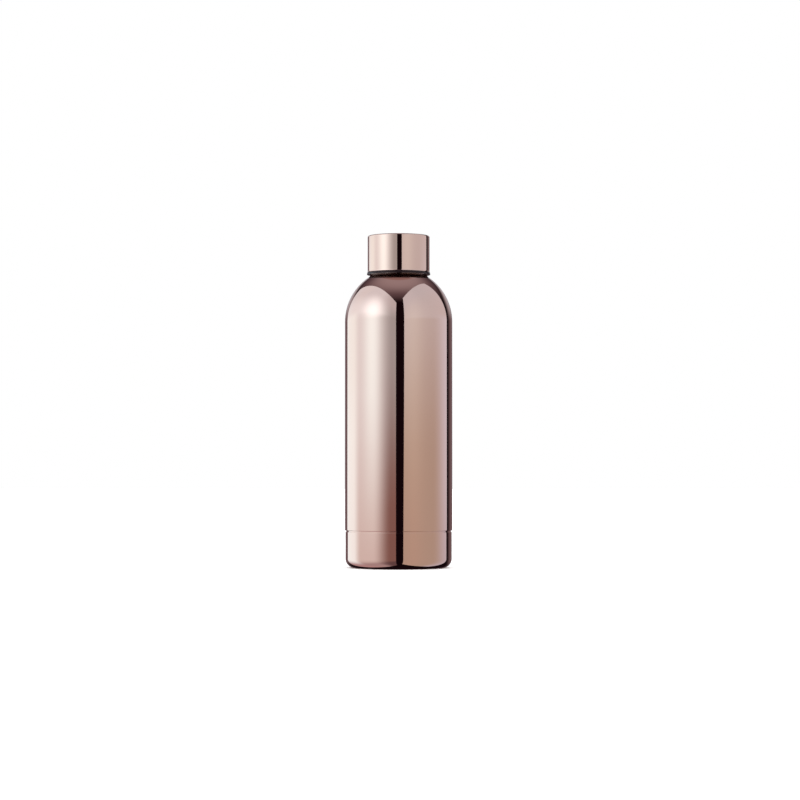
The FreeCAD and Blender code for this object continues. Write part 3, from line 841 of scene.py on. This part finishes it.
def glowing_mesh(name, vertices, faces, colours):
    """Mesh that glows with the colour given for each of its points."""
    mesh = bpy.data.meshes.new(name)
    mesh.from_pydata(vertices, [], faces)
    attribute = mesh.color_attributes.new("glow", "FLOAT_COLOR", "POINT")
    attribute.data.foreach_set("color", [value for colour in colours for value in colour])
    material = bpy.data.materials.new(name)
    material.use_nodes = True
    material.node_tree.nodes.clear()
    nodes = Nodes(material.node_tree)
    glow = nodes.add("ShaderNodeAttribute", {"attribute_name": "glow"})
    emission = nodes.add("ShaderNodeEmission", Color=glow.outputs["Color"])
    nodes.add("ShaderNodeOutputMaterial", Surface=emission.outputs[0])
    mesh.materials.append(material)
    return placed(name, mesh)


def bell(value, centre, width):
    """Rounded peak of height 1 at a centre."""
    return math.exp(-((value - centre) / width) ** 2)


def rise(value, start, end):
    """Smooth rise from 0 at the start to 1 at the end, level outside."""
    return smooth_step((value - start) / (end - start))


def blended(low, high, share):
    """Tone between two others."""
    return [a + (b - a) * share for a, b in zip(low, high)]


def graded(height, *stops):
    """Tone at a height, blended smoothly between stops of (height, tone)."""
    colour = stops[0][1]
    for (low, first), (high, second) in zip(stops, stops[1:]):
        if height > low:
            colour = blended(first, second, rise(height, low, high))
    return colour


def summed(*weighted):
    """Sum of tones, each with its weight."""
    return [sum(weight * colour[channel] for weight, colour in weighted) for channel in range(3)]


def left_tone(bearing, height):
    """Dim at the front, brightest beside the bottle a little above it, with more light low down behind it."""
    left = -bearing
    front = graded(
        height,
        (-0.7, (0.13, 0.08, 0.09)),
        (0.0, (0.24, 0.14, 0.13)),
        (0.25, (0.41, 0.46, 0.50)),
        (1.1, (0.56, 0.60, 0.67)),
    )
    middle = graded(
        height,
        (-0.7, (0.42, 0.34, 0.37)),
        (-0.05, (0.70, 0.69, 0.71)),
        (0.16, (0.84, 0.97, 1.07)),
        (0.45, (0.90, 1.07, 1.20)),
        (1.0, (0.75, 0.86, 0.97)),
    )
    glow = graded(
        height,
        (-0.04, DARK),
        (0.2, (0.22, 0.42, 0.44)),
        (0.42, (0.50, 0.66, 0.72)),
        (1.2, DARK),
    )
    rear = graded(
        height,
        (-1.0, (0.05, 0.0, 0.0)),
        (-0.1, (0.34, 0.62, 0.72)),
        (0.25, (0.17, 0.28, 0.26)),
        (0.46, (0.03, 0.02, 0.0)),
    )
    brighter_from = 17 - 5 * rise(height, -0.03, 0.17)
    approach = rise(left, brighter_from, brighter_from + 40)
    beside = bell(left, 58, 19 + 6 * rise(height, 0.28, 0.43))
    behind = rise(left, 88, 112)
    return summed((1 - approach, front), (approach, middle), (beside, glow), (behind, rear))


def right_tone(bearing, height):
    """Dimmer and more even than the left panel; a little brighter at its front, and low down at its rear."""
    middle = graded(
        height,
        (0.06, (0.47, 0.42, 0.37)),
        (0.31, (0.61, 0.65, 0.71)),
        (1.3, (0.59, 0.66, 0.75)),
    )
    front = graded(
        height,
        (-0.05, (0.04, 0.01, 0.0)),
        (0.2, (0.10, 0.13, 0.11)),
        (1.3, (0.04, 0.04, 0.04)),
    )
    rear = graded(
        height,
        (-0.05, (0.09, 0.16, 0.32)),
        (0.08, (0.17, 0.26, 0.44)),
        (0.4, (0.02, 0.0, 0.0)),
    )
    return summed((1, middle), (bell(bearing, 30, 24), front), (rise(bearing, 76, 124), rear))


def left_edges(_height):
    """Upright edges, the nearer one just left of the camera."""
    return -5.6, -143


def right_edges(height):
    """Edges that lean away from the camera a little on their way up."""
    return 9.8 + 2.0 * rise(height, -0.1, 0.25), 124.8 + 3.5 * rise(height, 0.3, 1.5)


def floor():
    """Large pale floor, left out of the metal's reflections."""
    corners = [(x * FLOOR_HALF, y * FLOOR_HALF, 0) for x, y in ((-1, -1), (1, -1), (1, 1), (-1, 1))]
    mesh = bpy.data.meshes.new("floor")
    mesh.from_pydata(corners, [], [(0, 1, 2, 3)])
    surface = Surface("floor", Roughness=0.9)
    surface.colour(surface.noise(scale=3.0, detail=2.0), (0.90, 0.90, 0.90), (0.915, 0.915, 0.915))
    mesh.materials.append(surface.material)
    staged(placed("floor", mesh), camera=True, glossy=False, diffuse=True)


def world():
    """White for the camera and for soft fill light; what the polished metal reflects of the room is dim.

    The metal sees a grey ceiling, and level with the bottle, behind it, a faint glow that is stronger a
    little higher up. Numbers here are shares of the direction's length, up or to the back.
    """
    made = bpy.data.worlds.new("studio")
    bpy.context.scene.world = made
    made.use_nodes = True
    made.cycles.sampling_method = "NONE"
    made.node_tree.nodes.clear()
    nodes = Nodes(made.node_tree)

    def share(value, start, end):
        return nodes.spread(value, 0.0, 1.0, start, end)

    def both(first, second):
        return nodes.maths("MULTIPLY", first, second)

    direction = nodes.add("ShaderNodeTexCoord").outputs["Generated"]
    split = nodes.add("ShaderNodeSeparateXYZ", Vector=direction).outputs
    up, back = split["Z"], split["Y"]

    ceiling = nodes.maths("ADD", up, nodes.maths("MULTIPLY", back, 0.2))
    seen = nodes.mix(share(ceiling, 0.45, 0.80), (0.007, 0.003, 0.005), (0.12, 0.085, 0.10))
    seen = nodes.mix(share(ceiling, 0.72, 1.02), seen, (0.335, 0.29, 0.32))

    level = both(nodes.spread(up, 1.0, 0.0, start=0.28, end=0.42), share(up, -0.40, -0.12))
    seen = nodes.mix(both(level, share(back, 0.64, 0.90)), seen, (0.17, 0.125, 0.14))
    higher = both(level, share(up, 0.04, 0.20))
    seen = nodes.mix(both(higher, share(back, 0.64, 1.0)), seen, (0.52, 0.53, 0.58))

    path = nodes.add("ShaderNodeLightPath").outputs
    seen = nodes.mix(path["Is Diffuse Ray"], seen, FILL_LIGHT)
    seen = nodes.mix(path["Is Camera Ray"], seen, BACKDROP)
    background = nodes.add("ShaderNodeBackground", Color=seen)
    nodes.add("ShaderNodeOutputWorld", Surface=background.outputs[0])


def camera():
    """Long lens a little below the bottle's waist, turned up a little."""
    data = bpy.data.cameras.new("camera")
    data.lens = LENS
    data.sensor_width = SENSOR
    data.clip_end = CLIP_END
    made = placed("camera", data)
    made.location = CAMERA_PLACE
    made.rotation_euler = (Vector(CAMERA_AIM) - made.location).to_track_quat("-Z", "Y").to_euler()
    bpy.context.scene.camera = made


softbox("left_softbox", facing=-71, bottom=-3.4, top=1.55, edges=left_edges, tone=left_tone)
softbox("right_softbox", facing=72, bottom=-1.7, top=1.83, edges=right_edges, tone=right_tone)
floor()
world()
camera()
bpy.context.scene.view_settings.view_transform = "Standard"
